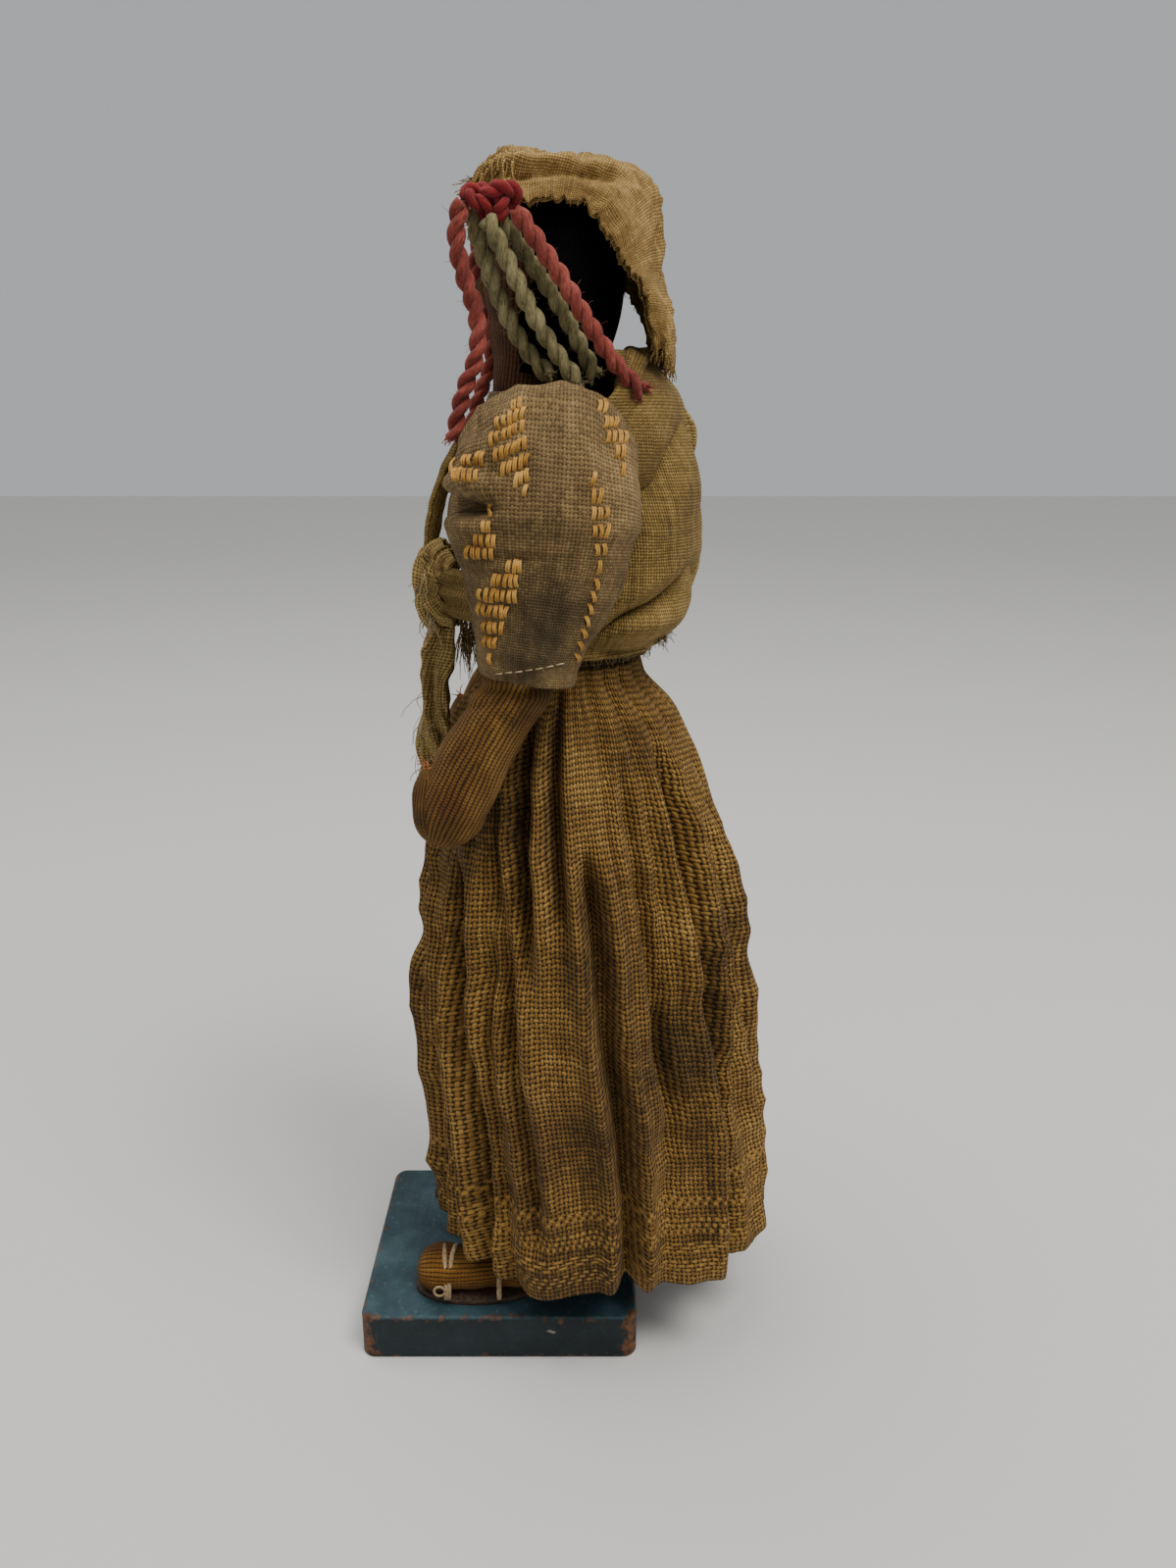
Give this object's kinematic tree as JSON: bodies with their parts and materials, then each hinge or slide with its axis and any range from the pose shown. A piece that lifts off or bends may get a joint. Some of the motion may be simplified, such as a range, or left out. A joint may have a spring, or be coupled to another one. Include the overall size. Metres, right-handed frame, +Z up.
{
  "type": "dressed cloth folk doll",
  "caption": "Standing stuffed cloth doll in a gathered skirt, blouse, carrying shawl and headcloth, with yarn hanging at each temple and arms that swing, on a painted wooden board.",
  "frame": {"origin": "middle of the board's underside", "axes": "+Z up through the figure, -Y the way the doll faces, +X the doll's left"},
  "size_m": [0.0772, 0.0896, 0.2429],
  "materials": {
    "painted_wood": "worn matt teal paint over softwood",
    "wire": "dull annealed wire",
    "calico": "plain unbleached calico",
    "stuffing": "loose cotton wadding",
    "stockinette": "brown ribbed stockinette",
    "arm_stockinette": "golden brown ribbed stockinette, faded",
    "black_cloth": "smooth black cotton",
    "headcloth_cotton": "fine plain-weave cotton, frayed",
    "blouse_wool": "coarse plain-weave wool with satin stitch",
    "skirt_cloth": "coarse open plain weave, gathered",
    "belt_weave": "narrow woven band",
    "shawl_gauze": "thin open-weave gauze, frayed",
    "sole_leather": "thin worn leather",
    "strap_cord": "thin twisted cord",
    "orange_thread": "thick sewing thread",
    "red_yarn": "two-ply wool yarn, faded",
    "grey_yarn": "two-ply wool yarn, faded grey-green"
  },
  "bodies": {
    "figure": {"base_board": "painted_wood", "spine_wire": "wire", "shoulder_wire": "wire", "torso_skin": "calico", "torso_stuffing": "stuffing", "head_skin": "stockinette", "head_stuffing": "stuffing", "hair_cloth": "black_cloth", "headcloth": "headcloth_cotton", "blouse": "blouse_wool", "skirt": "skirt_cloth", "belt": "belt_weave", "shawl_back": "shawl_gauze", "bundle": "stuffing", "shawl_shoulder_band": "shawl_gauze", "shawl_side_band": "shawl_gauze", "shawl_knot": "shawl_gauze", "left_leg_wire": "wire", "left_leg_skin": "stockinette", "left_leg_stuffing": "stuffing", "left_sandal_sole": "sole_leather", "left_sandal_strap": "strap_cord", "left_yarn_knot": "red_yarn", "left_red_front_yarn": "red_yarn", "left_grey_front_yarn": "grey_yarn", "left_grey_middle_yarn": "grey_yarn", "left_grey_back_yarn": "grey_yarn", "left_red_back_yarn": "red_yarn", "right_leg_wire": "wire", "right_leg_skin": "stockinette", "right_leg_stuffing": "stuffing", "right_sandal_sole": "sole_leather", "right_sandal_strap": "strap_cord", "right_yarn_knot": "red_yarn", "right_red_front_yarn": "red_yarn", "right_grey_front_yarn": "grey_yarn", "right_grey_middle_yarn": "grey_yarn", "right_grey_back_yarn": "grey_yarn", "right_red_back_yarn": "red_yarn"},
    "left_arm": {"left_arm_wire": "wire", "left_arm_skin": "arm_stockinette", "left_arm_stuffing": "stuffing", "left_sleeve": "blouse_wool", "left_fingertip_thread": "orange_thread"},
    "right_arm": {"right_arm_wire": "wire", "right_arm_skin": "arm_stockinette", "right_arm_stuffing": "stuffing", "right_sleeve": "blouse_wool", "right_fingertip_thread": "orange_thread"},
    "shawl_tail": {"shawl_tail": "shawl_gauze"}
  },
  "joints": [
    {"name": "left_shoulder", "type": "hinge", "parent": "figure", "child": "left_arm", "pos_m": [0.0182, 0.00998, 0.1887], "axis": [-1, 0, 0], "range_deg": [0, 60]},
    {"name": "right_shoulder", "type": "hinge", "parent": "figure", "child": "right_arm", "pos_m": [-0.0182, 0.00998, 0.1887], "axis": [-1, 0, 0], "range_deg": [0, 60]},
    {"name": "tail_swing", "type": "hinge", "parent": "figure", "child": "shawl_tail", "pos_m": [0.004, -0.0108, 0.1561], "axis": [-1, 0, 0], "range_deg": [0, 35]}
  ]
}
